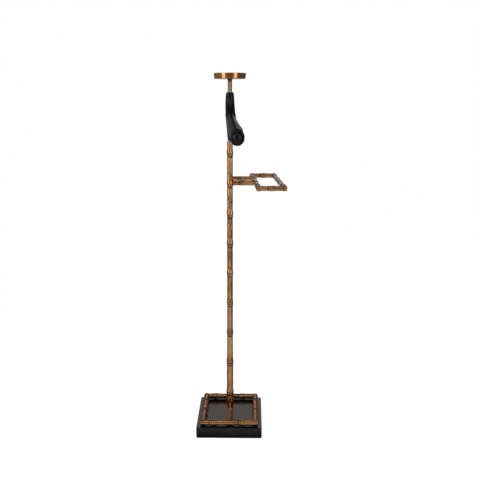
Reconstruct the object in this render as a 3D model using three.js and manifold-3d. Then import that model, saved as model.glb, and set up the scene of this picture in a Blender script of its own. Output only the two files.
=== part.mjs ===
// Valet stand: a faux-bamboo brass pole on a square-edged stone plinth, with a shoe rail on the
// plinth, a trouser frame held out on two short rods, a carved coat hanger that turns on the pole,
// and a round tray on a plain stem at the top.
// Millimetres, +Z up. The origin is on the floor under the pole, +X points towards the trouser
// frame, and +Y to the left of someone who looks along +X.

import * as THREE from "three";
import { mergeVertices } from "three/addons/utils/BufferGeometryUtils.js";
import Module from "manifold-3d";

// ---- Driving dimensions ----

const gap = 0.3; // between pieces that touch
const sides = 14; // flats round a cane
const roundSides = 28; // flats round turned pieces

const plinthWidth = 210; // along X
const plinthDepth = 276; // along Y
const plinthThickness = 33;
const plinthCorner = 4; // plan radius of the plinth's corners
const plinthEase = 1.2; // eased top and bottom edges
const feltThickness = 1.2;
const feltInset = 1;

const poleHeight = 900.8; // from the plinth's top face
const poleRadius = 9.1; // at the foot and at the top
const poleFootHeight = 24;
const poleKnuckleGrowth = 2.1; // extra radius of the short thick length under the lowest node
const poleRootGrowth = 1.3; // extra radius between the lowest node and the second
const poleLowGrowth = 0.4; // extra radius above the second node, lost evenly up to the top
const poleSwell = 2.0; // how far a node stands out
const poleWall = 2.2;
const poleFirstNode = 72; // above the pole's foot
const poleNodePitch = 100;
const poleNodeCount = 9;
const poleNodeDrift = 6; // the nodes wander this far from even spacing
const poleNodeWave = 6; // pitches from one crossing of the even spacing to the next
const poleStepOut = 10; // height over which the foot widens into the knuckle
const poleStepIn = 6; // height over which the knuckle narrows into the root
const poleRootFade = 45; // height over which the root narrows above the second node

const railInset = 12; // plinth edge to the rail's outer face, along X
const railInsetDepth = 9; // the same along Y
const railRadius = 8.8;
const railSwell = 1.4;
const railWall = 1.8;
const railSideNodes = [0.45, 0.82]; // places along the side bars, as shares of their length
const crossbarRadius = 8.7;
const crossbarEndRadius = 7.8; // where it meets the end bars
const crossbarSwell = 1.0;
const crossbarNode = 0.86; // place of its node, as a share of the way from pole to end bar
const saddleOverrun = 20; // how far a cutting cane runs past what it cuts
const endDome = 0.28; // depth of a cane's rounded end, as a share of its radius

const armTurn = 2.77; // degrees that the pole, rods and trouser frame are turned on the plinth
const armDrop = 122.5; // the middle of the two rods, below the pole's top
const upperRodRadius = 7.1;
const lowerRodRadius = 7.1;
const armRodSwell = 0.2;
const armRodNode = 0.45; // share of the rod's length
const armRodBite = 3; // the rods run this far past the back bar's axis before they are cut to fit
const frameDrop = 2.2; // the trouser frame's middle below that of the rods
const frameReach = 119; // pole axis to the trouser frame's middle
const frameWidth = 91; // over the long bars
const frameLength = 437; // over the end bars
const frameBarRadius = 7.4;
const frameBarSwell = 1.5;
const frameBarWall = 1.6;
const frameBarNodes = [0.13, 0.38, 0.62, 0.87]; // shares of the long bars' length

const hangerTurn = 1.3; // degrees that the hanger is turned on the pole at rest
const hangerSpan = 430;
const hangerHeight = 153; // foot of the boss to the top of the neck
const neckHalfWidth = 17; // along the span, at the top of the neck
const neckReach = 54; // where the neck's curve has run out into the shoulder
const bossHalfWidth = 9; // along the span, at the foot of the boss
const bossReach = 46; // where the boss's curve has run out into the lower edge
const shoulderTop = 54; // below the neck's top, of the shoulder line drawn on to the middle
const shoulderSlope = 0.285; // fall of the shoulder line for each millimetre outwards
const endRadius = 23.5; // the round ends, upright and along the span
const endHalfThickness = 22; // the same along X
const endSquareness = 2.1; // 2 is a ball, and more is squarer
const neckSquareness = 10;
const planSquareness = 2.4; // of the neck and the boss, seen from above
const endReach = 22.3; // how far the ends' middle is in front of the pole axis
const endRise = 18; // the ends' middle above the foot of the boss
const archRise = 32; // the lower edge between boss and ends, above the ends' lowest line
const planFade = 12; // height over which the neck and the boss lose their oval plan

const boltRadius = 4; // M8 bolt that holds the pole down
const boltHeadRadius = 7.5;
const boltHeadHeight = 5.5;
const boltWasherRadius = 11;
const washerThickness = 1.5;
const boltPocketRadius = 12.5;
const boltPocketDepth = 9;
const insertLength = 30;
const screwRadius = 2.5; // M5 screws that hold the rail and the tray
const screwHeadRadius = 4.6;
const screwHeadHeight = 4;
const screwPocketDepth = 6;
const tieRadius = 3; // M6 rod through the hanger
const bushRadius = 5;
const plugFlange = 2;
const plugDepth = 22;
const rodEndSpace = 2; // left free past a bolt's or a rod's end
const screwEndSpace = 3; // left free between the tie rod and the tray's screw

const stemRadius = 6.9;
const stemLength = 29.8;
const collarShape = [[0, 0], [0.2, 4], [0.9, 6.4], [2.1, 7.5], [2.1, 8]]; // [beyond stem, height]
const trayRimRadius = 50.8;
const trayFootRadius = 49.0;
const trayHeight = 18;
const trayFloor = 2.6;
const trayWall = 2.0;
const traySinkShare = 0.7; // depth of the screw's countersink, as a share of the floor

// ---- Heights and places that follow from them ----

const plinthBottom = feltThickness + gap;
const plinthTop = plinthBottom + plinthThickness;
const railHeight = plinthTop + gap + railRadius + railSwell;
const poleTop = plinthTop + gap + poleHeight;
const plugTop = poleTop + gap + plugFlange;
const lowerWasherTop = plugTop + gap + washerThickness;
const hangerFoot = lowerWasherTop + gap;
const hangerTop = hangerFoot + hangerHeight;
const upperWasherTop = hangerTop + gap + washerThickness;
const stemBottom = upperWasherTop + gap;
const stemTop = stemBottom + stemLength;
const collarBottom = stemTop + gap;
const collarTop = collarBottom + collarShape.at(-1)[1];
const trayBottom = collarTop + gap;

const railHalfWidth = plinthWidth / 2 - railInset; // pole axis to the rail's outer face, along X
const railSideX = railHalfWidth - railRadius;
const railEndY = plinthDepth / 2 - railInsetDepth - railRadius;
const frameBarX = frameWidth / 2 - frameBarRadius;
const frameEndY = frameLength / 2 - frameBarRadius;
const armMiddle = poleTop - armDrop;
const frameHeight = armMiddle - frameDrop;
const armRodPitch = upperRodRadius + lowerRodRadius + 2 * armRodSwell + gap; // node on node
const hangerHalf = hangerSpan / 2;

// ---- Finishes ----

const brass = new THREE.MeshStandardMaterial({ color: 0x9a6c3c, roughness: 0.32, metalness: 1 });
const paleBrass = new THREE.MeshStandardMaterial({ color: 0xb4935c, roughness: 0.3, metalness: 1 });
const steel = new THREE.MeshStandardMaterial({ color: 0xb9bcc0, roughness: 0.4, metalness: 1 });
const stone = new THREE.MeshStandardMaterial({ color: 0x141416, roughness: 0.12, metalness: 0 });
const felt = new THREE.MeshStandardMaterial({ color: 0x1d1f1c, roughness: 1, metalness: 0 });
const ebonised = new THREE.MeshStandardMaterial({ color: 0x0e0e0d, roughness: 0.3, metalness: 0 });

// ---- Joining and cutting ----

const wasm = await Module();
wasm.setup();

// A closed solid from a geometry: positions only, shared corners joined, empty triangles left out.
function solidOf(geometry) {
  const bare = new THREE.BufferGeometry();
  bare.setAttribute("position", geometry.getAttribute("position").clone());
  bare.setIndex(geometry.getIndex());
  const joined = mergeVertices(bare, 1e-4);
  const index = joined.getIndex().array;
  const corners = [];
  for (let i = 0; i < index.length; i += 3) {
    const [a, b, c] = [index[i], index[i + 1], index[i + 2]];
    if (a !== b && b !== c && c !== a) corners.push(a, b, c);
  }
  const mesh = new wasm.Mesh({
    numProp: 3,
    vertProperties: new Float32Array(joined.getAttribute("position").array),
    triVerts: new Uint32Array(corners),
  });
  return new wasm.Manifold(mesh);
}

function geometryOf(solid) {
  const mesh = solid.getMesh();
  const geometry = new THREE.BufferGeometry();
  geometry.setAttribute("position", new THREE.BufferAttribute(mesh.vertProperties, 3));
  geometry.setIndex(new THREE.BufferAttribute(mesh.triVerts, 1));
  geometry.computeVertexNormals();
  return geometry;
}

// The first geometry with all the others taken out of it.
function cut(geometry, ...tools) {
  const left = tools.reduce((solid, tool) => solid.subtract(solidOf(tool)), solidOf(geometry));
  return geometryOf(left);
}

// ---- Turned pieces ----

// A solid of revolution about +Z. The profile lists [radius, height] and runs up the outside. It
// starts and ends on the axis, or closes on itself.
function turned(profile, flats = roundSides) {
  const points = profile.map(([radius, height]) => new THREE.Vector2(radius, height));
  return new THREE.LatheGeometry(points, flats).rotateX(Math.PI / 2);
}

function rod(radius, bottom, top, flats = roundSides) {
  return turned([[0, bottom], [radius, bottom], [radius, top], [0, top]], flats);
}

function tube(outer, inner, bottom, top, flats = roundSides) {
  const ring = [[inner, bottom], [outer, bottom], [outer, top], [inner, top], [inner, bottom]];
  return turned(ring, flats);
}

function along(direction, geometry) {
  if (direction === "x") return geometry.rotateY(Math.PI / 2);
  if (direction === "y") return geometry.rotateX(-Math.PI / 2);
  return geometry;
}

// ---- Canes ----

// How a node stands out from a cane: [distance from the node, share of the swell].
const nodeShape = [[-17, 0], [-9, 0.3], [-3.5, 1], [3.5, 1], [9, 0.3], [17, 0]];

// Outline of a cane from 0 to length, as [radius, distance]. radiusAt gives the plain radius at each
// distance, grow adds to it all over, and stations are extra distances short of the first node.
function caneLine(length, radiusAt, swell, nodes, grow = 0, stations = []) {
  const line = [0, ...stations].map((place) => [radiusAt(place) + grow, place]);
  for (const node of nodes) {
    for (const [offset, share] of nodeShape) {
      const place = node + offset;
      if (place > 0 && place < length) line.push([radiusAt(place) + swell * share + grow, place]);
    }
  }
  line.push([radiusAt(length) + grow, length]);
  return line;
}

// A solid cane between two flat ends.
function cane(length, radiusAt, swell, nodes) {
  const line = caneLine(length, radiusAt, swell, nodes);
  return turned([[0, 0], ...line, [0, length]], sides);
}

function hollowCane(length, radius, swell, nodes, wall) {
  const line = caneLine(length, () => radius, swell, nodes);
  const bore = radius - wall;
  return turned([[bore, 0], ...line, [bore, length], [bore, 0]], sides);
}

// A solid cane with rounded ends.
function domedCane(length, radius, swell, nodes) {
  const depth = radius * endDome;
  const dome = [];
  for (let step = 1; step < 4; step += 1) {
    const angle = (step / 4) * (Math.PI / 2);
    dome.push([radius * Math.sin(angle), depth * (1 - Math.cos(angle))]);
  }
  const line = caneLine(length - 2 * depth, () => radius, swell, nodes.map((n) => n - depth));
  const body = line.map(([r, s]) => [r, s + depth]);
  const far = dome.map(([r, s]) => [r, length - s]).reverse();
  return turned([[0, 0], ...dome, ...body, ...far, [0, length]], sides);
}

// ---- The parts ----

const stand = new THREE.Group();
const arm = new THREE.Group();
arm.rotation.z = THREE.MathUtils.degToRad(armTurn);
stand.add(arm);
const hanger = new THREE.Group();
hanger.rotation.z = THREE.MathUtils.degToRad(hangerTurn);
stand.add(hanger);

function addPart(group, name, geometry, material) {
  const mesh = new THREE.Mesh(geometry, material);
  mesh.name = name;
  group.add(mesh);
}

function block(width, depth, bottom, top, corner, ease) {
  const [w, d, r] = [width / 2 - ease, depth / 2 - ease, Math.max(corner - ease, 0.5)];
  const outline = new THREE.Shape();
  outline.moveTo(-w + r, -d);
  outline.lineTo(w - r, -d);
  outline.absarc(w - r, -d + r, r, -Math.PI / 2, 0);
  outline.lineTo(w, d - r);
  outline.absarc(w - r, d - r, r, 0, Math.PI / 2);
  outline.lineTo(-w + r, d);
  outline.absarc(-w + r, d - r, r, Math.PI / 2, Math.PI);
  outline.lineTo(-w, -d + r);
  outline.absarc(-w + r, -d + r, r, Math.PI, 1.5 * Math.PI);
  const geometry = new THREE.ExtrudeGeometry(outline, {
    depth: top - bottom - 2 * ease,
    bevelEnabled: ease > 0,
    bevelSize: ease,
    bevelThickness: ease,
    bevelSegments: 2,
    curveSegments: 3,
  });
  return geometry.translate(0, 0, bottom + ease);
}

// Rail nodes, where the rail touches the plinth, as distances from each bar's start.
const endBarLength = 2 * railHalfWidth;
const endBarNodes = {
  right: [0.21 * endBarLength, 0.73 * endBarLength],
  left: [0.19 * endBarLength, 0.72 * endBarLength],
};
const endBars = [["right", -railEndY], ["left", railEndY]];
const railScrews = endBars.flatMap(([name, y]) =>
  endBarNodes[name].map((node) => [node - railHalfWidth, y]),
);

function makePlinth() {
  const body = block(plinthWidth, plinthDepth, plinthBottom, plinthTop, plinthCorner, plinthEase);
  const pocketTop = plinthBottom + boltPocketDepth;
  const tools = [
    rod(boltRadius + gap, plinthBottom - 1, plinthTop + 1),
    rod(boltPocketRadius, plinthBottom - 1, pocketTop),
  ];
  for (const [x, y] of railScrews) {
    tools.push(rod(screwRadius + gap, plinthBottom - 1, plinthTop + 1, sides).translate(x, y, 0));
    const pocket = rod(screwHeadRadius + 2 * gap, plinthBottom - 1, plinthBottom + screwPocketDepth, sides);
    tools.push(pocket.translate(x, y, 0));
  }
  addPart(stand, "plinth", cut(body, ...tools), stone);

  const feltWidth = plinthWidth - 2 * feltInset;
  const feltDepth = plinthDepth - 2 * feltInset;
  const sheet = new THREE.BoxGeometry(feltWidth, feltDepth, feltThickness);
  addPart(stand, "felt_sheet", sheet.translate(0, 0, feltThickness / 2), felt);
}

function makePoleBolt() {
  const washerTop = plinthBottom + boltPocketDepth - gap;
  const washerBottom = washerTop - washerThickness;
  const washer = tube(boltWasherRadius, boltRadius + gap, washerBottom, washerTop);
  addPart(stand, "pole_bolt_washer", washer, steel);
  const headTop = washerBottom - gap;
  const headBottom = headTop - boltHeadHeight;
  const shankTop = plinthTop + gap + insertLength - rodEndSpace;
  const bolt = turned([
    [0, headBottom], [boltHeadRadius, headBottom], [boltHeadRadius, headTop], [boltRadius, headTop],
    [boltRadius, shankTop], [0, shankTop],
  ], 24);
  addPart(stand, "pole_bolt", bolt, steel);
}

function makeRailScrews() {
  const headTop = plinthBottom + screwPocketDepth - gap;
  const tip = railHeight - 1;
  railScrews.forEach(([x, y], i) => {
    const screw = turned([
      [0, headTop - screwHeadHeight], [screwHeadRadius, headTop - screwHeadHeight],
      [screwHeadRadius, headTop], [screwRadius, headTop], [screwRadius, tip], [0, tip],
    ], 12);
    addPart(stand, `rail_screw_${i + 1}`, screw.translate(x, y, 0), steel);
  });
}

// Plain radius of the pole at a height above its foot. It steps out above the foot, in a little at
// the first node and again above the second, and then slims evenly to the top.
function poleRadiusAt(height) {
  const rootTop = poleFirstNode + poleNodePitch;
  const slimFrom = rootTop + poleRootFade;
  const out = THREE.MathUtils.smoothstep(height, poleFootHeight, poleFootHeight + poleStepOut);
  const inwards = THREE.MathUtils.smoothstep(height, poleFirstNode, poleFirstNode + poleStepIn);
  const narrowed = THREE.MathUtils.smoothstep(height, rootTop, slimFrom);
  const slimmed = Math.max(0, (height - slimFrom) / (poleHeight - slimFrom));
  return (
    poleRadius +
    poleKnuckleGrowth * out +
    (poleRootGrowth - poleKnuckleGrowth) * inwards +
    (poleLowGrowth - poleRootGrowth) * narrowed -
    poleLowGrowth * slimmed
  );
}

const poleStations = [0, 0.5, 1].map((share) => poleFootHeight + share * poleStepOut);
const poleNodes = Array.from({ length: poleNodeCount }, (_, i) => {
  return poleFirstNode + poleNodePitch * i + poleNodeDrift * Math.sin((Math.PI * i) / poleNodeWave);
});

function poleLine(grow = 0) {
  return caneLine(poleHeight, poleRadiusAt, poleSwell, poleNodes, grow, poleStations);
}

// The pole's space with the touching gap round it, for cutting what meets the pole.
function poleSpace() {
  const line = poleLine(gap).map(([r, s]) => [r, s + plinthTop + gap]);
  return turned([[0, line[0][1]], ...line, [0, line.at(-1)[1]]], sides);
}

function makePole() {
  const bottom = plinthTop + gap;
  const bore = poleRadius - poleWall;
  const outside = poleLine();
  const ring = [[bore, 0], ...outside, [bore, poleHeight], [bore, 0]];
  addPart(stand, "pole", turned(ring, sides).translate(0, 0, bottom), brass);

  const boreFit = bore * Math.cos(Math.PI / sides) - gap;
  const insert = tube(boreFit, boltRadius + gap, bottom, bottom + insertLength);
  addPart(stand, "pole_foot_insert", insert, steel);

  const flangeBottom = poleTop + gap;
  const hole = tieRadius + gap;
  const plug = turned([
    [hole, poleTop - plugDepth], [boreFit, poleTop - plugDepth], [boreFit, flangeBottom],
    [poleRadius, flangeBottom], [poleRadius, plugTop], [hole, plugTop], [hole, poleTop - plugDepth],
  ]);
  addPart(stand, "pole_top_plug", plug, brass);
}

function makeShoeRail() {
  for (const [name, y] of endBars) {
    const bar = along("x", domedCane(endBarLength, railRadius, railSwell, endBarNodes[name]));
    bar.translate(-railHalfWidth, y, railHeight);
    const holes = railScrews
      .filter((screw) => screw[1] === y)
      .map(([x]) => rod(screwRadius + gap, plinthTop, railHeight, 12).translate(x, y, 0));
    addPart(stand, `shoe_rail_${name}`, cut(bar, ...holes), brass);
  }

  // The bars along Y fit round the end bars, and the crossbar halves round the pole's foot as well.
  const saddles = endBars.map(([, y]) => {
    const reach = railHalfWidth + saddleOverrun;
    const saddle = rod(railRadius + gap, -reach, reach, sides);
    return along("x", saddle).translate(0, y, railHeight);
  });
  const sideLength = 2 * railEndY;
  const sideNodes = railSideNodes.map((share) => share * sideLength);
  for (const [name, x] of [["front", railSideX], ["back", -railSideX]]) {
    const bar = along("y", hollowCane(sideLength, railRadius, railSwell, sideNodes, railWall));
    bar.translate(x, -railEndY, railHeight);
    addPart(stand, `shoe_rail_${name}`, cut(bar, ...saddles), brass);
  }
  const crossNodes = [crossbarNode * railEndY];
  const crossbarAt = (place) => (place < railEndY ? crossbarRadius : crossbarEndRadius);
  const nearHalf = along("y", cane(railEndY, crossbarAt, crossbarSwell, crossNodes));
  const farHalf = nearHalf.clone();
  nearHalf.rotateZ(Math.PI);
  for (const [name, half] of [["right", nearHalf], ["left", farHalf]]) {
    half.translate(0, 0, railHeight);
    addPart(stand, `crossbar_${name}`, cut(half, poleSpace(), ...saddles), brass);
  }
}

function makeArmRods() {
  const backBarX = frameReach - frameBarX;
  const reach = Math.max(upperRodRadius, lowerRodRadius) + saddleOverrun;
  const saddle = along("y", rod(frameBarRadius + gap, -reach, reach, sides));
  saddle.translate(backBarX, 0, frameHeight);
  const length = backBarX + armRodBite;
  for (const [name, radius, side] of [["upper", upperRodRadius, 1], ["lower", lowerRodRadius, -1]]) {
    const bar = along("x", cane(length, () => radius, armRodSwell, [armRodNode * length]));
    bar.translate(0, 0, armMiddle + (side * armRodPitch) / 2);
    addPart(arm, `arm_rod_${name}`, cut(bar, poleSpace(), saddle), brass);
  }
}

function makeTrouserFrame() {
  const ends = [["right", -frameEndY], ["left", frameEndY]];
  for (const [name, y] of ends) {
    const bar = along("x", domedCane(frameWidth, frameBarRadius, frameBarSwell, [frameWidth / 2]));
    bar.translate(frameReach - frameWidth / 2, y, frameHeight);
    addPart(arm, `trouser_end_${name}`, bar, brass);
  }
  const saddles = ends.map(([, y]) => {
    const run = [-saddleOverrun, frameWidth + saddleOverrun];
    const saddle = along("x", rod(frameBarRadius + gap, ...run, sides));
    return saddle.translate(frameReach - frameWidth / 2, y, frameHeight);
  });
  const length = 2 * frameEndY;
  const nodes = frameBarNodes.map((share) => share * length);
  for (const [name, side] of [["front", 1], ["back", -1]]) {
    const bar = along("y", hollowCane(length, frameBarRadius, frameBarSwell, nodes, frameBarWall));
    bar.translate(frameReach + side * frameBarX, -frameEndY, frameHeight);
    addPart(arm, `trouser_bar_${name}`, cut(bar, ...saddles), brass);
  }
}

// ---- The coat hanger ----

// A curve that leaves 1 upright at the start and reaches 0 level at the end.
function scoop(place, start, end) {
  if (place <= start) return 1;
  if (place >= end) return 0;
  const share = (end - place) / (end - start);
  return 1 - Math.sqrt(1 - share * share);
}

// Upper and lower edge of the hanger at a distance out from its middle, above the boss's foot.
function hangerEdges(out) {
  const endStart = hangerHalf - endRadius;
  if (out > endStart) {
    const share = Math.min((out - endStart) / endRadius, 1);
    const half = endRadius * (1 - share ** endSquareness) ** (1 / endSquareness);
    return [endRise + half, endRise - half];
  }
  const shoulder = hangerHeight - shoulderTop - shoulderSlope * out;
  const shoulderAtNeck = hangerHeight - shoulderTop - shoulderSlope * neckHalfWidth;
  const neck = (hangerHeight - shoulderAtNeck) * scoop(out, neckHalfWidth, neckReach);
  const top = out <= neckHalfWidth ? hangerHeight : shoulder + neck;
  const archAt = (place) => endRise - endRadius + archRise * (1 - (place / endStart) ** 2);
  const boss = archAt(bossHalfWidth) * scoop(out, bossHalfWidth, bossReach);
  const bottom = out <= bossHalfWidth ? 0 : archAt(out) - boss;
  return [top, bottom];
}

// Middle and half thickness of the body at the pole, [height above the foot, middle, half].
const bodyShape = [
  [0, 0.6, 7.6], [20, 1.5, 10.2], [34, 2.4, 12.6], [51, 2.8, 14.6], [69, 2.6, 16.0],
  [103, 0, 16.0], [115, 0, 15.0], [128, 0, 13.9], [153, 0, 13.0],
];

function bodyAt(height) {
  const place = (height / hangerHeight) * bodyShape.at(-1)[0];
  let i = 1;
  while (i < bodyShape.length - 1 && bodyShape[i][0] < place) i += 1;
  const [low, high] = [bodyShape[i - 1], bodyShape[i]];
  const share = THREE.MathUtils.clamp((place - low[0]) / (high[0] - low[0]), 0, 1);
  return [1, 2].map((k) => low[k] + (high[k] - low[k]) * share);
}

// The neck and the boss are oval in plan: their share of the full thickness at a distance out and
// a height. It is 0 on the neck's and the boss's edge, and 1 everywhere between the two.
function planShare(out, z) {
  const neckFoot = hangerEdges(neckReach)[0];
  const bossTop = hangerEdges(bossReach)[1];
  const onNeck = z > (neckFoot + bossTop) / 2;
  let [near, far] = onNeck ? [neckHalfWidth, neckReach] : [bossHalfWidth, bossReach];
  const beyond = onNeck ? z - neckFoot : bossTop - z;
  if (beyond <= 0 || out >= far) return 1;
  for (let step = 0; step < 20; step += 1) {
    const place = (near + far) / 2;
    const [top, bottom] = hangerEdges(place);
    if (z < top && z > bottom) near = place;
    else far = place;
  }
  const oval = (1 - Math.min(out / far, 0.999) ** planSquareness) ** (1 / planSquareness);
  return THREE.MathUtils.lerp(1, oval, Math.min(beyond / planFade, 1));
}

// One closed ring of the hanger's surface at a distance out from its middle.
function hangerRing(out, count) {
  const [top, bottom] = hangerEdges(out);
  const [middle, half] = [(top + bottom) / 2, (top - bottom) / 2];
  const endStart = hangerHalf - endRadius;
  const flare = Math.min(out / endStart, 1) ** 1.6;
  const neckShare = scoop(out, neckHalfWidth, neckReach);
  const squareness = 2 + (neckSquareness - 2) * neckShare + (endSquareness - 2) * flare;
  const ring = [];
  for (let i = 0; i < count; i += 1) {
    const angle = (2 * Math.PI * (i + 0.5)) / count;
    const [c, s] = [Math.cos(angle), Math.sin(angle)];
    const z = middle + half * Math.sign(s) * Math.abs(s) ** (2 / squareness);
    const [bodyMiddle, bodyHalf] = bodyAt(z);
    const endHalf = out > endStart ? (half / endRadius) * endHalfThickness : endHalfThickness;
    const x = bodyMiddle + (endReach - bodyMiddle) * flare;
    const thick = (bodyHalf + (endHalf - bodyHalf) * flare) * planShare(out, z);
    ring.push([x + thick * Math.sign(c) * Math.abs(c) ** (2 / squareness), out, z]);
  }
  return ring;
}

// A closed surface through rings of equal count, with a flat face at the first ring and a point
// beyond the last one.
function lofted(rings, tip) {
  const count = rings[0].length;
  const centre = rings[0].reduce((sum, p) => sum.map((v, k) => v + p[k] / count), [0, 0, 0]);
  const positions = [...rings.flat(), centre, tip].flat();
  const [centreIndex, tipIndex] = [rings.length * count, rings.length * count + 1];
  const faces = [];
  for (let i = 0; i < count; i += 1) {
    const next = (i + 1) % count;
    faces.push(centreIndex, i, next);
    for (let k = 0; k < rings.length - 1; k += 1) {
      const [a, b] = [k * count + i, k * count + next];
      faces.push(a, a + count, b, b, a + count, b + count);
    }
    const last = (rings.length - 1) * count;
    faces.push(last + i, tipIndex, last + next);
  }
  const geometry = new THREE.BufferGeometry();
  geometry.setAttribute("position", new THREE.Float32BufferAttribute(positions, 3));
  geometry.setIndex(faces);
  return geometry;
}

function makeHanger() {
  const ringCount = 24;
  const endStart = hangerHalf - endRadius;
  const outs = [gap / 2, ...[0.4, 0.7, 0.9, 1].map((share) => share * neckHalfWidth)];
  for (const share of [0.02, 0.08, 0.18, 0.32, 0.5, 0.72, 1]) {
    outs.push(neckHalfWidth + share * (neckReach - neckHalfWidth));
  }
  for (let i = 1; i <= 7; i += 1) outs.push(neckReach + (i / 7) * (endStart - neckReach));
  for (const angle of [18, 36, 52, 66, 78]) {
    outs.push(endStart + endRadius * Math.sin(THREE.MathUtils.degToRad(angle)));
  }
  const rings = outs.map((out) => hangerRing(out, ringCount));
  const left = lofted(rings, [endReach, hangerHalf, endRise]);

  // The other half is the mirror image, with its faces turned back to point outwards.
  const right = left.clone().scale(1, -1, 1);
  const index = right.getIndex().array;
  for (let i = 0; i < index.length; i += 3) {
    [index[i + 1], index[i + 2]] = [index[i + 2], index[i + 1]];
  }
  const bore = rod(bushRadius + gap, -5, hangerHeight + 5);
  for (const [name, half] of [["left", left], ["right", right]]) {
    const body = cut(half, bore).translate(0, 0, hangerFoot);
    addPart(hanger, `hanger_${name}_half`, body, ebonised);
  }
  const bush = tube(bushRadius, tieRadius + gap, hangerFoot + gap, hangerTop - gap);
  addPart(hanger, "hanger_bush", bush, steel);
}

function makeStemAndTray() {
  const hole = tieRadius + gap;
  const lowerWasher = tube(poleRadius, hole, plugTop + gap, lowerWasherTop);
  addPart(stand, "hanger_lower_washer", lowerWasher, steel);
  const upperWasher = tube(stemRadius, hole, hangerTop + gap, upperWasherTop);
  addPart(stand, "hanger_upper_washer", upperWasher, steel);
  addPart(stand, "stem", tube(stemRadius, hole, stemBottom, stemTop), paleBrass);
  const tieTop = stemBottom + stemLength / 2;
  addPart(stand, "tie_rod", rod(tieRadius, poleTop - plugDepth + rodEndSpace, tieTop), steel);
  const screwHole = screwRadius + gap;
  const flare = collarShape.map(([beyond, height]) => [stemRadius + beyond, collarBottom + height]);
  const ring = [[screwHole, collarBottom], ...flare, [screwHole, collarTop]];
  const collar = turned([...ring, ring[0]]);
  addPart(stand, "tray_collar", collar, brass);

  // The tray is a shallow turned cup with a countersunk hole in its floor.
  const floorTop = trayBottom + trayFloor;
  const rim = trayBottom + trayHeight;
  const sink = trayFloor * traySinkShare;
  const inner = trayRimRadius - trayWall;
  const tray = turned([
    [screwHole, trayBottom], [trayFootRadius - 2, trayBottom], [trayFootRadius - 0.5, trayBottom + 0.6],
    [trayFootRadius, trayBottom + 2], [trayRimRadius, rim - 0.6], [trayRimRadius - 0.5, rim],
    [inner + 0.4, rim], [inner, rim - 0.5], [trayFootRadius - trayWall, floorTop + 1.5],
    [trayFootRadius - trayWall - 1.5, floorTop], [screwHeadRadius + gap, floorTop],
    [screwHole, floorTop - sink], [screwHole, trayBottom],
  ], 48);
  addPart(stand, "tray", tray, brass);
  const screw = turned([
    [0, tieTop + screwEndSpace], [screwRadius, tieTop + screwEndSpace], [screwRadius, floorTop - sink + gap],
    [screwHeadRadius, floorTop], [0, floorTop],
  ]);
  addPart(stand, "tray_screw", screw, steel);
}

makePlinth();
makePoleBolt();
makeRailScrews();
makePole();
makeShoeRail();
makeArmRods();
makeTrouserFrame();
makeHanger();
makeStemAndTray();

export default stand;
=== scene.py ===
import math

import bpy
import numpy as np
from mathutils import Euler, Matrix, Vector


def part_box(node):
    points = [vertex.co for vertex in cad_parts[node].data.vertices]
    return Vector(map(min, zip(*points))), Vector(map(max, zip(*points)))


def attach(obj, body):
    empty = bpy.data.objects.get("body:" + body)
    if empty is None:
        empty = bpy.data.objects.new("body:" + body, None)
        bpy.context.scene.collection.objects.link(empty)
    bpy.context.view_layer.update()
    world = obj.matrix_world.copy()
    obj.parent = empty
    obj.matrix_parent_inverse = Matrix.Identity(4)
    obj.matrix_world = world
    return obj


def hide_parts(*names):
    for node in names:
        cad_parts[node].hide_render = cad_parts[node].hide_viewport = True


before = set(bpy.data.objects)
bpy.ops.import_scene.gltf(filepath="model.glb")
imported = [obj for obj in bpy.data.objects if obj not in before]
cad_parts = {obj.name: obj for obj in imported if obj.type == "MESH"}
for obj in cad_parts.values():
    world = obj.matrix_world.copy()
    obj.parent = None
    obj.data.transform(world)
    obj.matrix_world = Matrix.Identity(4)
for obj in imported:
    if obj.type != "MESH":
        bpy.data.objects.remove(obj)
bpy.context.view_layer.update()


# ---- Plinth ----
# A slab of black stone, sawn square, with its edges eased and all its faces polished. It carries
# the whole stand. The pole's bolt comes up through a hole in its middle, from a pocket underneath.
class Wire:
    """An output of a shader node. Arithmetic on it adds Math nodes to the same tree."""

    def __init__(self, tree, socket=None):
        self.tree, self.socket = tree, socket

    def node(self, kind, settings=None, sockets=None, out=0):
        """Adds a node: first its settings, then the values or wires of its input sockets."""
        made = self.tree.nodes.new(kind)
        for key, value in (settings or {}).items():
            setattr(made, key, value)
        for key, value in (sockets or {}).items():
            if isinstance(value, Wire):
                self.tree.links.new(value.socket, made.inputs[key])
            else:
                made.inputs[key].default_value = value
        return Wire(self.tree, made.outputs[out] if len(made.outputs) else None)

    def math(self, operation, *values):
        return self.node("ShaderNodeMath", {"operation": operation}, dict(enumerate(values)))

    def __add__(self, other):
        return self.math("ADD", self, other)

    def __radd__(self, other):
        return self.math("ADD", other, self)

    def __sub__(self, other):
        return self.math("SUBTRACT", self, other)

    def __rsub__(self, other):
        return self.math("SUBTRACT", other, self)

    def __mul__(self, other):
        return self.math("MULTIPLY", self, other)

    def __rmul__(self, other):
        return self.math("MULTIPLY", other, self)

    def __abs__(self):
        return self.math("ABSOLUTE", self)


def between(value, low, high):
    """0 where the value is at low or under, 1 where it is at high or over, smooth in between."""
    settings = {"interpolation_type": "SMOOTHSTEP"}
    return value.node("ShaderNodeMapRange", settings, {0: value, 1: low, 2: high})


def blend(share, low, high):
    """The colour low where share is 0 and high where it is 1."""
    ends = [end if isinstance(end, Wire) else (*end, 1.0) for end in (low, high)]
    return share.node("ShaderNodeMix", {"data_type": "RGBA"}, {0: share, 6: ends[0], 7: ends[1]}, 2)


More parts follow.
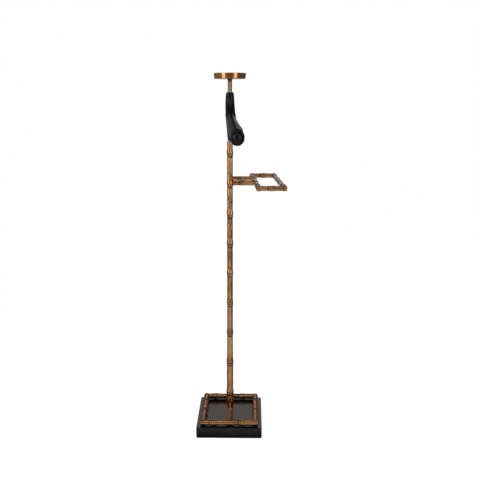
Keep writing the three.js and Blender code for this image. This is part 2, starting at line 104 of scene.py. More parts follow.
def cloud(place, scale, detail=4.0, stretch=(1.0, 1.0, 1.0), roughness=0.55):
    """Noise of about 1 / scale metres, made shorter along each axis by stretch."""
    place = place.node("ShaderNodeVectorMath", {"operation": "MULTIPLY"}, {0: place, 1: stretch})
    sockets = {"Vector": place, "Scale": scale, "Detail": detail, "Roughness": roughness}
    return place.node("ShaderNodeTexNoise", {"normalize": True}, sockets)


def relief(height, depth):
    """A normal bent by a height map that is depth metres deep."""
    return height.node("ShaderNodeBump", None, {"Strength": 1.0, "Distance": depth, "Height": height})


def new_material(name):
    """A material with an empty tree, and a wire that holds each point's place on the object."""
    material = bpy.data.materials.new(name)
    material.use_nodes = True
    material.node_tree.nodes.clear()
    return material, Wire(material.node_tree).node("ShaderNodeTexCoord", out=3)


def finish_with(wire, sockets):
    """Ends a material in a Principled shader with these sockets."""
    shader = wire.node("ShaderNodeBsdfPrincipled", None, sockets)
    shader.node("ShaderNodeOutputMaterial", None, {"Surface": shader})


def surface_mesh(name, points, closed_along=False, **attributes):
    """A closed surface from a grid of points in millimetres, given as rows x columns x 3.

    Every row is a ring. The rows run so that a step round the ring, crossed with a step to the next
    row, points outwards. Either the last row joins the first again, or the first and last rows are
    each one point. An attribute is one number or one vector for each point of the grid."""
    rows, columns = points.shape[:2]
    index = np.arange(rows * columns).reshape(rows, columns)
    kept = slice(None)
    if not closed_along:
        kept = slice(columns - 1, (rows - 1) * columns + 1)
        index = np.clip(index - (columns - 1), 0, (rows - 2) * columns + 1)
    lower, upper = index, np.roll(index, -1, axis=0)
    lower_next, upper_next = np.roll(lower, -1, axis=1), np.roll(upper, -1, axis=1)
    quads = np.stack([lower, lower_next, upper_next, upper], -1)
    faces = quads.reshape(-1, 4).tolist()
    if not closed_along:
        fans = [quads[0][:, [0, 2, 3]], quads[-2][:, [0, 1, 2]]]
        faces = quads[1:-2].reshape(-1, 4).tolist() + np.concatenate(fans).tolist()
    mesh = bpy.data.meshes.new(name)
    mesh.from_pydata((points.reshape(-1, 3)[kept] / 1000.0).tolist(), [], faces)
    mesh.shade_smooth()
    for key, values in attributes.items():
        values = np.asarray(values, dtype=np.float32).reshape(rows * columns, -1)[kept]
        kind, field = ("FLOAT", "value") if values.shape[1] == 1 else ("FLOAT_VECTOR", "vector")
        mesh.attributes.new(key, kind, "POINT").data.foreach_set(field, values.ravel())
    return mesh


def new_piece(name, mesh, material, slot, body, *nodes):
    """Puts a mesh into the model: its finish, the body it moves with, and the nodes it stands for."""
    piece = bpy.data.objects.new(name, mesh)
    bpy.context.scene.collection.objects.link(piece)
    mesh.materials.append(material)
    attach(piece, body)
    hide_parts(*nodes)
    return piece


def eased_ring(half_x, half_y, corner, inset, height):
    """A rectangle with rounded corners, level at a height: each corner is an arc of radius corner -
    inset about a fixed middle, led in and out by short straight lengths."""
    turn = np.linspace(0.0, math.pi / 2, 9)
    turn = turn[:, None] + np.arange(4) * math.pi / 2
    lead = np.zeros_like(turn)
    turn = np.concatenate([turn[:1], turn, turn[-1:]])
    lead = np.concatenate([lead[:1] - 2.0, lead, lead[-1:] + 2.0])
    middle_x = np.array([1, -1, -1, 1]) * (half_x - corner)
    middle_y = np.array([1, 1, -1, -1]) * (half_y - corner)
    radius = corner - inset
    x = middle_x + radius * np.cos(turn) - lead * np.sin(turn)
    y = middle_y + radius * np.sin(turn) + lead * np.cos(turn)
    return np.stack([x, y, np.full_like(x, height)], -1).transpose(1, 0, 2).reshape(-1, 3)


def slab(name, lowest, highest, corner, ease, hole, pocket, pocket_depth):
    """An eased block with a round hole up its middle and a wider pocket underneath. The rings go
    down the hole and the pocket, out under the bottom, up the sides and in over the top. On the
    way over an edge they follow a quarter circle of radius ease."""
    half_x, half_y = (highest - lowest)[:2] / 2
    bottom, top = lowest[2], highest[2]
    bend = np.linspace(0.0, math.pi / 2, 7)
    out = ease * (1 - np.sin(bend))
    down = ease * (1 - np.cos(bend))
    rings = [eased_ring(half_x, half_y, corner, ease + 0.6, top)]
    rings += [eased_ring(half_x, half_y, corner, e, top - d) for e, d in zip(out, down)]
    rings += [eased_ring(half_x, half_y, corner, 0.0, top - ease - 0.6)]
    rings += [eased_ring(half_x, half_y, corner, 0.0, bottom + ease + 0.6)]
    rings += [eased_ring(half_x, half_y, corner, e, bottom + d) for e, d in zip(out[::-1], down[::-1])]
    rings += [eased_ring(half_x, half_y, corner, ease + 0.6, bottom)]
    outer = np.array(rings)
    angle = np.arctan2(outer[0, :, 1], outer[0, :, 0])
    circle = np.stack([np.cos(angle), np.sin(angle), 0 * angle], -1)
    ceiling = bottom + pocket_depth
    over = [(hole, top - 1.0), (hole, top), (hole + 1.0, top)]
    under = [(pocket + 1.0, bottom), (pocket, bottom), (pocket, bottom + 1.0),
             (pocket, ceiling), (pocket - 1.0, ceiling), (hole, ceiling), (hole, ceiling + 1.0)]
    round_rings = [[r * circle + [0.0, 0.0, z] for r, z in rings] for rings in (over, under)]
    points = np.concatenate([round_rings[0], outer, round_rings[1]])
    return surface_mesh(name, points[::-1], closed_along=True)


stone, place = new_material("polished_black_stone")
drift = cloud(place, 9.0, 6.0, roughness=0.62)
vein = 1 - between(abs(drift - 0.5), 0.0, 0.035)
fleck = between(cloud(place, 420.0, 2.0), 0.68, 0.78)
tone = blend(between(cloud(place, 22.0, 5.0), 0.35, 0.75), (0.003, 0.003, 0.0035), (0.008, 0.0075, 0.008))
tone = blend(vein * between(cloud(place, 5.0, 2.0), 0.45, 0.7) * 0.4, tone, (0.032, 0.029, 0.027))
finish_with(place, {
    "Base Color": blend(fleck * 0.3, tone, (0.045, 0.043, 0.041)),
    "Roughness": 0.10 + 0.08 * cloud(place, 60.0, 3.0) + 0.05 * fleck,
    "Normal": relief(cloud(place, 260.0, 3.0), 0.00002),
    "IOR": 1.5,
    "Specular IOR Level": 0.45,
})
lowest, highest = (np.array(corner) * 1000.0 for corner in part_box("plinth"))
new_piece("stone_plinth", slab("stone_plinth", lowest, highest, 4.0, 1.2, 4.3, 12.5, 9.0),
          stone, "black_stone", "stand", "plinth")


# ---- Felt ----
# A sheet of black felt, cut a little smaller than the plinth and glued under it. It hides the
# pockets of the bolt and the screws, and keeps the stone off the floor.
felt, place = new_material("black_felt")
fibre = cloud(place, 1400.0, 5.0, (1.0, 1.0, 0.3), 0.7)
tuft = cloud(place, 240.0, 4.0)
finish_with(place, {
    "Base Color": blend(fibre * 0.6 + tuft * 0.4, (0.006, 0.0065, 0.006), (0.038, 0.039, 0.036)),
    "Roughness": 0.88 + 0.12 * fibre,
    "Normal": relief(fibre * 0.6 + tuft * 0.4, 0.0006),
    "Sheen Weight": 0.4,
    "Sheen Roughness": 0.6,
    "Specular IOR Level": 0.2,
})
lowest, highest = (np.array(corner) * 1000.0 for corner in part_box("felt_sheet"))
half_x, half_y = (highest - lowest)[:2] / 2
cut_edge = [(0.3, highest[2]), (0.0, highest[2] - 0.3), (0.0, lowest[2] + 0.3), (0.3, lowest[2])]
sheet_rings = np.array([eased_ring(half_x, half_y, 3.0, inset, z) for inset, z in cut_edge])
share = np.array([0.0, 0.5])[:, None, None]
over = sheet_rings[0] * (share * [1, 1, 0] + [0, 0, 1])
under = sheet_rings[-1] * (share[::-1] * [1, 1, 0] + [0, 0, 1])
felt_mesh = surface_mesh("felt_underlay", np.concatenate([over, sheet_rings, under])[::-1])
felt_piece = new_piece("felt_underlay", felt_mesh, felt, "black_felt", "stand", "felt_sheet")


# ---- Bolt, washer and screws ----
# Zinc-plated steel: the M8 bolt and its washer that pull the pole down on the stone, the insert in
# the pole's foot that the bolt turns into, and four M5 screws that hold the shoe rail.
steel, place = new_material("zinc_plated_steel")
spangle = place.node("ShaderNodeTexVoronoi", None, {"Vector": place, "Scale": 900.0}, 1)
grain = cloud(place, 320.0, 4.0)
finish_with(place, {
    "Base Color": blend(grain, (0.45, 0.46, 0.47), (0.68, 0.69, 0.68)),
    "Metallic": 1.0,
    "Roughness": 0.28 + 0.22 * spangle * grain,
    "Normal": relief(grain, 0.00003),
})


def refinish(material, *nodes):
    """Gives CAD nodes that keep their own shape a finish."""
    for node in nodes:
        piece = bpy.data.objects[node]
        piece.data.materials.clear()
        piece.data.materials.append(material)


refinish(steel, "pole_bolt", "pole_bolt_washer", "pole_foot_insert", "rail_screw_1",
         "rail_screw_2", "rail_screw_3", "rail_screw_4", "hanger_bush", "hanger_lower_washer",
         "hanger_upper_washer", "tie_rod", "tray_screw")


# ---- Pole ----
# A cast brass pole in the shape of a bamboo cane, toned brown and rubbed back to the metal on its
# high spots. It is hollow, and it thickens between its two lowest nodes.
brass, place = new_material("antique_brass")
cane_place = place.node("ShaderNodeAttribute", {"attribute_name": "cane_place"}, out=1)
hollow = place.node("ShaderNodeAttribute", {"attribute_name": "hollow"}, out=2)
toning = cloud(place, 26.0, 5.0, roughness=0.6)
mottle = cloud(place, 170.0, 5.0, roughness=0.6)
streak = cloud(cane_place, 900.0, 3.0, (1.0, 1.0, 0.045))
tarnish = between(toning * 0.35 + mottle * 0.30 + streak * 0.2 + hollow * 0.9, 0.30, 0.95)
rubbed = blend(between(toning, 0.35, 0.65), (0.80, 0.375, 0.105), (0.58, 0.24, 0.055))
finish_with(place, {
    "Base Color": blend(tarnish, rubbed, (0.13, 0.046, 0.012)),
    "Metallic": 1.0,
    "Roughness": 0.18 + 0.14 * tarnish + 0.05 * mottle,
    "Normal": relief(mottle * 0.5 + streak * 0.2 + cloud(place, 900.0, 3.0) * 0.3, 0.00014),
    "Coat Weight": 0.75 - 0.45 * tarnish,
    "Coat Roughness": 0.08,
    "Coat IOR": 1.85,
    "Specular Tint": (0.45, 0.30, 0.18, 1.0),
})


def node_rings(along, around, nodes, side, draw):
    """Swell and hollow of a cane's nodes, each from 0 to 1, at distances along and angles around.

    A node rises gently on the side that the cane grew towards, over 9 mm, and drops off sharply on
    the other side, in 2 mm, into a groove. Past the groove comes a lower ring, and the cane is drawn
    in a little on both sides of it all. The plane of the node is tilted: its place shifts by a
    cosine of the angle, and most nodes stand highest on the given side."""
    count = len(nodes)
    size = draw.uniform(0.86, 1.12, count)[:, None, None]
    lean = draw.uniform(0.9, 2.3, count)[:, None, None]
    facing = side + draw.normal(0.0, 0.5, count)[:, None, None]
    offset = along - np.asarray(nodes)[:, None, None] - lean * np.cos(around - facing)
    reach = np.where(offset > 0, 8.5, 2.1)
    ridge = np.exp(-((offset / reach) ** 2))
    ring = 0.52 * np.exp(-(((offset + 6.2) / 3.4) ** 2))
    groove = np.exp(-(((offset + 2.9) / 1.1) ** 2))
    waist = np.exp(-(((offset + 14.5) / 5.0) ** 2)) + np.exp(-(((offset - 19.0) / 6.0) ** 2))
    swell = size * (ridge + ring - 0.22 * groove - 0.12 * waist)
    lined = 0.95 * groove + 0.5 * np.exp(-(((offset + 11.0) / 3.0) ** 2))
    return swell.sum(axis=0), np.minimum(lined.sum(axis=0), 1.0)


def cane_lumps(along, around, longest, draw):
    """Uneven casting, within about 1: waves along a cane, up to the longest, that wind round it."""
    wave = 2 * math.pi / (longest * draw.uniform(0.4, 1.0, 5)[:, None, None])
    turns = np.array([0, 1, 2, 1, 3])[:, None, None]
    start = draw.uniform(0.0, 2 * math.pi, 5)[:, None, None]
    return np.sin(wave * along + turns * around + start).sum(axis=0) / 3.0


def cane_mesh(name, start, direction, length, plain, swell, nodes, ends, seed, lumps=0.18,
              longest=75.0, side=0.0):
    """A cane along a straight axis, in millimetres.

    The body's radius is plain, plus swell times its node rings, plus its lumps. Each end is
    ("flat",), ("dome", depth), which closes in a squarish quarter ellipse, or ("saddle", radius,
    upright, fillet), which is hollowed to sit on a round bar whose axis crosses ours at the end
    point, and flares out to a fillet of braze there."""
    draw = np.random.default_rng(seed)
    direction = np.array(direction, dtype=float)
    side_2 = np.array([0.0, 1.0, 0.0]) if direction[2] == 1 else np.array([0.0, 0.0, 1.0])
    side_1 = np.cross(side_2, direction)
    around = np.linspace(0.0, 2 * math.pi, 48, endpoint=False)[None, :]
    along = np.linspace(0.0, length, max(int(length / 0.9), 24))[:, None]
    node_swell, lined = node_rings(along, around, nodes, side, draw)
    radius = (plain(along) if callable(plain) else plain) + swell * node_swell
    radius = radius + lumps * cane_lumps(along, around, longest, draw)
    depths = [sizes[0] if kind == "dome" else 0.0 for kind, *sizes in ends]
    for (kind, *sizes), distance in zip(ends, (along, length - along)):
        if kind == "saddle":
            fillet = sizes[2]
            radius = radius + fillet * np.clip(1 - distance / (2.6 * fillet), 0, 1) ** 2
            lined = np.maximum(lined, 0.8 * np.clip(1 - distance / 3.0, 0, 1))

    bend = np.linspace(0.0, math.pi / 2, 15)[:-1, None]
    cap, rise = np.sin(bend) ** 0.4, 1 - np.cos(bend) ** 0.4
    body = depths[0] + along * (length - sum(depths)) / length
    along = np.concatenate([depths[0] * rise, body, length - depths[1] * rise[::-1]]) + 0 * around
    radius = np.concatenate([radius[:1] * cap, radius, radius[-1:] * cap[::-1]])
    lined = np.concatenate([lined[:1] + 0 * cap, lined, lined[-1:] + 0 * cap])
    share = along / length
    for (kind, *sizes), weight in zip(ends, (1 - share, -share)):
        if kind == "saddle":
            offset = radius * (np.cos(around) if sizes[1] else np.sin(around))
            along = along + weight * np.sqrt(np.maximum(sizes[0] ** 2 - offset ** 2, 0.0))
    local = np.stack([radius * np.cos(around), radius * np.sin(around), along], -1)
    points = np.asarray(start) + local @ np.array([side_1, side_2, direction])
    return surface_mesh(name, points, cane_place=local / 1000.0, hollow=lined)


foot_top, first_node, node_pitch, root_fade = 24.0, 72.0, 100.0, 45.0


def pole_radius(height):
    """The pole's plain radius: 9.1 mm where it stands on the stone, a step out to 11.2 mm under the
    first node, 10.4 mm from there to the second, then 9.5 mm, which slims evenly to 9.1 mm."""
    def step(low, length):
        share = np.clip((height - low) / length, 0, 1)
        return share * share * (3 - 2 * share)

    second_node = first_node + node_pitch
    slim_from = second_node + root_fade
    slimmed = np.clip((height - slim_from) / (pole_height - slim_from), 0, 1)
    root = 2.1 * step(foot_top, 10.0) - 0.8 * step(first_node, 6.0) - 0.9 * step(second_node, root_fade)
    return 9.1 + root - 0.4 * slimmed


pole_low, pole_high = (np.array(corner) * 1000.0 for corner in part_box("pole"))
pole_height = pole_high[2] - pole_low[2]
node_count = np.arange(9)
pole_nodes = first_node + node_pitch * node_count + 6.0 * np.sin(node_count * math.pi / 6)
pole_mesh = cane_mesh("brass_pole", (0.0, 0.0, pole_low[2]), (0, 0, 1), pole_height, pole_radius,
                      1.35, pole_nodes, [("flat",), ("flat",)], seed=11, side=math.pi)
new_piece("brass_pole", pole_mesh, brass, "antique_brass", "stand", "pole")


def arm_point(x, y, z):
    """A point of the trouser frame: the arm is turned 2.77 degrees on the plinth."""
    turn = math.radians(2.77)
    return (x * math.cos(turn) - y * math.sin(turn), x * math.sin(turn) + y * math.cos(turn), z)


# ---- Shoe rail ----
# Four brass canes and a crossbar lie on the plinth as a fence for shoes. The bars along the ends
# have rounded ends. The others butt against them and against the pole, and are brazed there.
rail_height, rail_side, rail_end, rail_half = pole_low[2] + 10.2, 84.2, 120.2, 93.0
domes = [("dome", 4.5), ("dome", 4.5)]
saddles = [("saddle", 8.6, False, 1.6), ("saddle", 8.6, False, 1.6)]
for name, y, nodes in (("right", -rail_end, (39.1, 135.8)), ("left", rail_end, (35.3, 133.9))):
    mesh = cane_mesh(f"shoe_rail_end_{name}", (-rail_half, y, rail_height), (1, 0, 0),
                     2 * rail_half, 8.7, 1.4, nodes, domes, seed=21 + (y > 0))
    new_piece(f"shoe_rail_end_{name}", mesh, brass, "antique_brass", "stand", f"shoe_rail_{name}")
for name, x in (("front", rail_side), ("back", -rail_side)):
    mesh = cane_mesh(f"shoe_rail_side_{name}", (x, -rail_end, rail_height), (0, 1, 0), 2 * rail_end,
                     8.5, 1.2, (108.2, 197.1), saddles, seed=31 + (x > 0), lumps=0.55, longest=90.0)
    new_piece(f"shoe_rail_side_{name}", mesh, brass, "antique_brass", "stand", f"shoe_rail_{name}")


def crossbar_radius(distance):
    """8.7 mm, narrowing to 7.8 mm over 12 mm, just short of where the crossbar meets the end bar."""
    return 8.7 - 0.9 * np.clip((distance - (rail_end - 18.0)) / 12.0, 0, 1)


# The crossbar, where shoes rub, is the same brass worn dull.
worn_brass = brass.copy()
worn_brass.name = "worn_brass"
worn_shader = next(n for n in worn_brass.node_tree.nodes if n.type == "BSDF_PRINCIPLED")
for link in list(worn_shader.inputs["Roughness"].links):
    worn_brass.node_tree.links.remove(link)
worn_shader.inputs["Roughness"].default_value = 0.5

for name, side in (("right", -1), ("left", 1)):
    mesh = cane_mesh(f"crossbar_{name}_cane", (0.0, 0.0, rail_height), (0, side, 0), rail_end,
                     crossbar_radius, 0.8, (103.4,),
                     [("saddle", 9.0, True, 0.4), ("saddle", 8.6, False, 1.0)], seed=41 + side,
                     lumps=0.25)
    new_piece(f"crossbar_{name}_cane", mesh, worn_brass, "antique_brass", "stand", f"crossbar_{name}")


# ---- Trouser frame ----
# Two short brass rods stand out from the pole, one above the other, and carry a long frame of four
# thinner canes, over which trousers hang. The joints are brazed.
frame_height, frame_end = pole_high[2] - 124.7, 211.1
back_bar, front_bar, frame_width, frame_radius = 80.9, 157.1, 91.0, 7.4
frame_saddles = [("saddle", 7.3, False, 1.4), ("saddle", 7.3, False, 1.4)]
arm_along, arm_across = arm_point(1, 0, 0), arm_point(0, 1, 0)
for name, drop, mate, seed in (("upper", 115.05, 9.2, 52), ("lower", 129.95, 10.4, 51)):
    mesh = cane_mesh(f"arm_rod_{name}_cane", (0.0, 0.0, pole_high[2] - drop), arm_along, back_bar,
                     7.1, 0.2, (37.7,), [("saddle", mate, True, 0.8), ("saddle", 7.3, False, 0.8)],
                     seed=seed, lumps=0.1)
    new_piece(f"arm_rod_{name}_cane", mesh, brass, "antique_brass", "stand", f"arm_rod_{name}")
for name, y in (("right", -frame_end), ("left", frame_end)):
    start = arm_point(back_bar - frame_radius, y, frame_height)
    mesh = cane_mesh(f"trouser_end_{name}_cane", start, arm_along, frame_width, frame_radius, 1.2,
                     (frame_width / 2,), [("dome", 4.0), ("dome", 4.0)], seed=61 + (y > 0))
    new_piece(f"trouser_end_{name}_cane", mesh, brass, "antique_brass", "stand",
              f"trouser_end_{name}")
for name, x in (("front", front_bar), ("back", back_bar)):
    nodes = np.array([0.13, 0.38, 0.62, 0.87]) * 2 * frame_end
    mesh = cane_mesh(f"trouser_bar_{name}_cane", arm_point(x, -frame_end, frame_height), arm_across,
                     2 * frame_end, frame_radius, 1.3, nodes, frame_saddles,
                     seed=71 + (x == front_bar))
    new_piece(f"trouser_bar_{name}_cane", mesh, brass, "antique_brass", "stand",
              f"trouser_bar_{name}")


# ---- Coat hanger ----
# A hanger carved from one piece of hardwood, ebonised and lacquered. It has a long neck, sloping
# shoulders and thick round ends that come forward, and it turns on the rod inside it.
wood, place = new_material("ebonised_wood")
grain = cloud(place, 520.0, 4.0, (1.0, 0.035, 0.6), 0.6)
pore = between(cloud(place, 1500.0, 2.0, (1.0, 0.02, 1.0)), 0.60, 0.72)
wear = cloud(place, 16.0, 5.0, roughness=0.65)
finish_with(place, {
    "Base Color": blend(grain * between(wear, 0.4, 0.8), (0.0025, 0.0022, 0.002), (0.008, 0.006, 0.0045)),
    "Roughness": 0.22 + 0.12 * wear + 0.08 * pore,
    "Normal": relief(grain * 0.6 - pore * 0.4, 0.00005),
    "Specular IOR Level": 0.32,
})


hanger_top, shoulder_top, slope, neck_out, neck_end = 153.0, 99.0, 0.285, 17.0, 54.0
boss_out, boss_end, arch_rise, waist = 9.0, 46.0, 32.0, 55.0
end_start, end_radius, end_rise, end_half, end_reach = 191.5, 23.5, 18.0, 22.0, 22.3


def scoop(place, start, end):
    """A quarter of an ellipse that leaves 1 upright at start and reaches 0 level at end."""
    share = np.clip((end - place) / (end - start), 0.0, 1.0)
    return 1.0 - np.sqrt(1.0 - share ** 2)


def hanger_edges(out):
    """Upper and lower edge at a distance out from the middle. The upper edge is the sloping
    shoulder, with the neck scooped up from it; the lower edge is an arch, with the boss scooped
    down from it; past end_start both close in an ellipse."""
    shoulder = shoulder_top - slope * out
    lift = hanger_top - shoulder_top + slope * neck_out
    top = shoulder + lift * scoop(out, neck_out, neck_end)
    top = np.where(out <= neck_out, hanger_top, top)
    arch = end_rise - end_radius + arch_rise * (1 - (out / end_start) ** 2)
    drop = end_rise - end_radius + arch_rise * (1 - (boss_out / end_start) ** 2)
    bottom = np.where(out <= boss_out, 0.0, arch - drop * scoop(out, boss_out, boss_end))
    tip = np.clip((out - end_start) / end_radius, 0.0, 1.0)
    end = end_radius * (1.0 - tip ** 2.1) ** (1 / 2.1)
    at_end = out > end_start
    return np.where(at_end, end_rise + end, top), np.where(at_end, end_rise - end, bottom)


def plan_share(out, z):
    """The neck and the boss are oval in plan. This is their share of the full thickness: 0 on their
    edge, where out is how far they reach at that height, and 1 everywhere between the two."""
    neck, boss = np.linspace(neck_end, neck_out, 200), np.linspace(boss_out, boss_end, 200)
    neck_top, boss_bottom = hanger_edges(neck)[0], hanger_edges(boss)[1]
    on_neck = z > waist
    reach = np.where(on_neck, np.interp(z, neck_top, neck), np.interp(z, boss_bottom, boss))
    beyond = np.where(on_neck, z - neck_top[0], boss_bottom[-1] - z) * (out < neck_end)
    beyond = np.where((z < waist) & (out > boss_end), 0.0, beyond)
    oval = (1.0 - np.minimum(out / reach, 0.999) ** 2.4) ** (1 / 2.4)
    return 1.0 + (oval - 1.0) * np.clip(beyond / 12.0, 0.0, 1.0)


def hanger_mesh(name, foot, turn):
    """Rings across the hanger from its left tip to its right tip. A ring is a squarish ellipse
    between the upper and lower edge. Its middle and its thickness follow the carved section at the
    pole, at that height, and change into those of the round ends on the way out."""
    quarter = np.linspace(0.0, math.pi / 2, 25)
    out = np.unique(np.round(np.concatenate([
        neck_out * np.sin(quarter[::2]), neck_end - (neck_end - neck_out) * np.cos(quarter),
        boss_end - (boss_end - boss_out) * np.cos(quarter), np.linspace(neck_end, end_start, 70),
        end_start + end_radius * np.sin(quarter) ** 0.8,
    ]), 3))
    across = np.concatenate([out[::-1], -out[1:]])[:, None]
    out = np.abs(across)
    top, bottom = hanger_edges(out)
    middle, half = (top + bottom) / 2, (top - bottom) / 2
    flare = np.minimum(out / end_start, 1.0) ** 1.6
    power = 2.0 / (2.0 + 8.0 * scoop(out, neck_out, neck_end) + 0.1 * flare)
    angle = np.linspace(0.0, 2 * math.pi, 96, endpoint=False)[None, :]
    level = np.abs(np.cos(angle)) ** power * np.sign(np.cos(angle))
    rise = np.abs(np.sin(angle)) ** power * np.sign(np.sin(angle))
    z = middle + half * rise
    heights = [0, 20, 34, 51, 69, 103, 115, 128, hanger_top]

    def section(table):
        nearby = np.linspace(-10.0, 10.0, 9)
        return np.mean([np.interp(z + d, heights, table) for d in nearby], axis=0)

    body_middle = section([0.6, 1.5, 2.4, 2.8, 2.6, 0.0, 0.0, 0.0, 0.0])
    body_half = section([7.6, 10.2, 12.6, 14.6, 16.0, 16.0, 15.0, 13.9, 13.0])
    tip_half = end_half * np.where(out > end_start, half / end_radius, 1.0)
    x = body_middle + (end_reach - body_middle) * flare
    x = x + (body_half + (tip_half - body_half) * flare) * plan_share(out, z) * level
    y = across + 0 * x
    points = np.stack([x * math.cos(turn) - y * math.sin(turn),
                       x * math.sin(turn) + y * math.cos(turn), foot + z], -1)
    return surface_mesh(name, points)


carved = hanger_mesh("coat_hanger", pole_high[2] + 4.4, math.radians(1.3))
new_piece("coat_hanger", carved, wood, "ebonised_wood", "hanger", "hanger_left_half",
          "hanger_right_half")


# ---- Stem and collar ----
# A plain turned brass tube, paler than the pole, and a dark collar that flares out under the tray.
# They are clamped on the rod that comes up through the hanger.
pale, place = new_material("pale_brass")
bloom = cloud(place, 60.0, 5.0, roughness=0.6)
turning = cloud(place, 1.0, 2.0, (3.0, 3.0, 2600.0))
finish_with(place, {
    "Base Color": blend(between(bloom, 0.35, 0.75), (0.44, 0.335, 0.19), (0.30, 0.215, 0.12)),
    "Metallic": 1.0,
    "Roughness": 0.36 + 0.10 * bloom + 0.05 * turning,
    "Normal": relief(turning, 0.00002),
    "Coat Weight": 0.6,
    "Coat Roughness": 0.1,
    "Specular Tint": (0.5, 0.45, 0.4, 1.0),
})


def rounded(corners):
    """A closed profile through corners (radius, height, rounding). Each corner becomes a quadratic
    curve that starts and ends at that distance from it, led in and out by a short straight."""
    corners = np.array(corners, dtype=float)
    here, size = corners[:, None, :2], corners[:, None, 2:]
    before = np.roll(corners[:, None, :2], 1, axis=0) - here
    after = np.roll(corners[:, None, :2], -1, axis=0) - here
    before = before / np.linalg.norm(before, axis=-1, keepdims=True)
    after = after / np.linalg.norm(after, axis=-1, keepdims=True)
    t = np.linspace(0.0, 1.0, 6)[None, :, None]
    bend = here + size * ((1 - t) ** 2 * before + t ** 2 * after)
    points = np.concatenate([here + 1.3 * size * before, bend, here + 1.3 * size * after], axis=1)
    return points.reshape(-1, 2)


def lathe_mesh(name, profile, sides=96, hollow=0.0):
    """A profile turned about the upright axis. It runs up the outside and down the inside."""
    around = np.linspace(0.0, 2 * math.pi, sides, endpoint=False)[None, :]
    radius, height = profile[:, 0][:, None], profile[:, 1][:, None]
    points = np.stack([radius * np.cos(around), radius * np.sin(around), height + 0 * around], -1)
    return surface_mesh(name, points, closed_along=True, cane_place=points / 1000.0,
                        hollow=np.full(points.shape[:2], hollow))


def ring_of(bore, radius, low, high, ease):
    """The profile of a washer or a tube with eased edges."""
    return rounded([(radius, low, ease), (radius, high, ease), (bore, high, ease), (bore, low, ease)])


stem_low, stem_high = (corner[2] * 1000.0 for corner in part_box("stem"))
new_piece("stem_tube", lathe_mesh("stem_tube", ring_of(3.3, 6.9, stem_low, stem_high, 0.5)),
          pale, "pale_brass", "stand", "stem")
collar_low, collar_high = (corner[2] * 1000.0 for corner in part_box("tray_collar"))
collar_profile = rounded([
    (6.9, collar_low, 0.3), (7.0, collar_low + 3.5, 1.5), (7.7, collar_low + 6.3, 1.0),
    (9.0, collar_high - 0.6, 0.2), (9.0, collar_high, 0.2), (2.8, collar_high, 0.3),
    (2.8, collar_low, 0.3),
])
new_piece("tray_collar_flare", lathe_mesh("tray_collar_flare", collar_profile, hollow=1.0), brass,
          "antique_brass", "stand", "tray_collar")
refinish(pale, "pole_top_plug")


# ---- Tray ----
# A shallow round tray for keys and coins, turned from brass and toned like the pole. Its wall leans
# out a little to a rounded rim, and one countersunk screw holds it to the stem.
tray_low, tray_high = (corner[2] * 1000.0 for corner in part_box("tray"))
tray_profile = rounded([
    (49.0, tray_low, 1.8), (50.8, tray_high, 0.9), (48.8, tray_high, 0.9),
    (47.0, tray_low + 2.6, 2.0), (4.9, tray_low + 2.6, 0.2), (2.8, tray_low + 0.8, 0.1),
    (2.8, tray_low, 0.2),
])
new_piece("brass_tray", lathe_mesh("brass_tray", tray_profile, 160), brass, "antique_brass",
          "stand", "tray")


# ---- Camera ----
# A long lens, a little above the hanger, looks down at the end of the stand. It stands slightly to
# the right of the pole and is turned a little to the left.
eye_distance, eye_height, eye_step = 2.6026, 1.0662, 0.0325
eye_turn, eye_tilt, eye_roll = np.radians([0.825, 9.709, 0.09])
camera = bpy.data.objects.new("camera", bpy.data.cameras.new("camera"))
camera.data.lens = 61.06
camera.data.sensor_width = 36.0
camera.data.clip_end = 50.0
camera.location = (
    eye_distance * math.sin(eye_turn) + eye_step * math.cos(eye_turn),
    -eye_distance * math.cos(eye_turn) + eye_step * math.sin(eye_turn),
    eye_height,
)
aim = Euler((math.pi / 2 - eye_tilt, 0.0, eye_turn)).to_matrix()
camera.rotation_euler = (aim @ Matrix.Rotation(eye_roll, 3, "Z")).to_euler()
bpy.context.scene.collection.objects.link(camera)
bpy.context.scene.camera = camera
bpy.context.scene.view_settings.view_transform = "Standard"


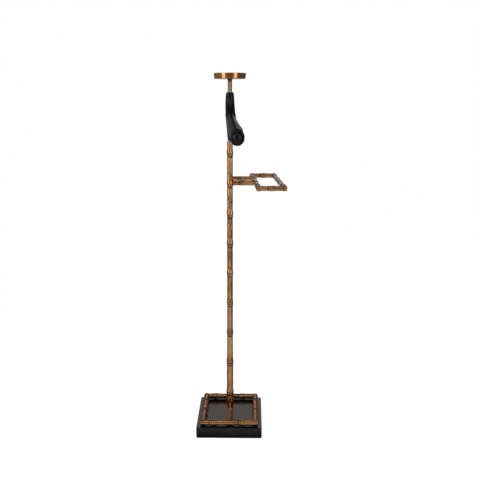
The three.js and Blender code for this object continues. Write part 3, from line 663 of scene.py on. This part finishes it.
# ---- Studio ----
# Two tall softboxes in front, to the left and to the right, a wide one high in front, and a paper
# floor. The room is white to the camera, but what the stand mirrors is dim, apart from a lit wall low
# behind it and a painted glow on the part of the floor in front of it.
world = bpy.data.worlds.new("studio")
bpy.context.scene.world = world
world.use_nodes = True
world.node_tree.nodes.clear()
sky = Wire(world.node_tree)
seen = sky.node("ShaderNodeLightPath")
toward = sky.node("ShaderNodeTexCoord")
right, ahead, up = (sky.node("ShaderNodeSeparateXYZ", None, {0: toward}, axis) for axis in range(3))
lit_wall = (1 - between(abs(right), 0.12, 0.28)) * between(ahead, 0.1, 0.4)
lit_wall = lit_wall * (1 - between(up, 0.44, 0.60))
to_left = 1 - between(right, -0.7, 0.1)
backdrop = sky.node("ShaderNodeBackground", None, {"Color": (1, 1, 1, 1), "Strength": 1.0})
room = sky.node("ShaderNodeBackground", None, {
    "Color": blend(lit_wall, (1.0, 0.98, 0.97), (1.0, 0.88, 0.84)),
    "Strength": 0.13 + 0.11 * to_left + 0.40 * lit_wall,
})
sky_mix = sky.node("ShaderNodeMixShader", None, {0: seen, 1: room, 2: backdrop})
sky.node("ShaderNodeOutputWorld", None, {"Surface": sky_mix})


def softbox(name, azimuth, height, distance, width, tall, power, aim):
    """A lit rectangle that faces the stand. Azimuth is in degrees to the right of the camera."""
    light = bpy.data.lights.new(name, "AREA")
    light.shape, light.size, light.size_y, light.energy = "RECTANGLE", width, tall, power
    lamp = bpy.data.objects.new(name, light)
    angle = math.radians(azimuth)
    lamp.location = (distance * math.sin(angle), -distance * math.cos(angle), height)
    slope = math.atan2(aim - height, distance)
    lamp.rotation_euler = (math.pi / 2 + slope, 0.0, angle)
    lamp.visible_camera = False
    bpy.context.scene.collection.objects.link(lamp)


softbox("softbox_left", -44.0, 1.35, 2.2, 0.80, 1.9, 11.0, 1.0)
softbox("softbox_right", 42.0, 1.35, 2.2, 0.80, 1.9, 11.0, 1.0)
softbox("softbox_high", 0.0, 2.6, 1.5, 1.4, 0.6, 3.2, 0.5)

floor_mesh = bpy.data.meshes.new("floor")
floor_corners = [(-1.2, -4, 0), (1.2, -4, 0), (1.2, 2.5, 0), (-1.2, 2.5, 0)]
floor_mesh.from_pydata(floor_corners, [], [(0, 1, 2, 3)])
floor = bpy.data.objects.new("floor", floor_mesh)
bpy.context.scene.collection.objects.link(floor)
paper, place = new_material("studio_floor")
matt = place.node("ShaderNodeBsdfDiffuse", None, {"Color": (0.35, 0.35, 0.35, 1.0)})
seen = place.node("ShaderNodeLightPath")
forward = place.node("ShaderNodeSeparateXYZ", None, {0: place}, 1)
# Painted light: the floor in front of the stand glows to every ray but the camera's. It is a painted pool
# of light that the brass mirrors, not a lamp. To the camera the whole floor glows evenly white.
painted_glow_front = 1 - between(forward, -0.24, -0.14)
glow = {"Color": (1, 1, 1, 1), "Strength": 0.42 * painted_glow_front * (1 - seen) + 0.94 * seen}
glow_shader = place.node("ShaderNodeEmission", None, glow)
paper_shader = place.node("ShaderNodeAddShader", None, {0: matt, 1: glow_shader})
place.node("ShaderNodeOutputMaterial", None, {"Surface": paper_shader})
floor_mesh.materials.append(paper)
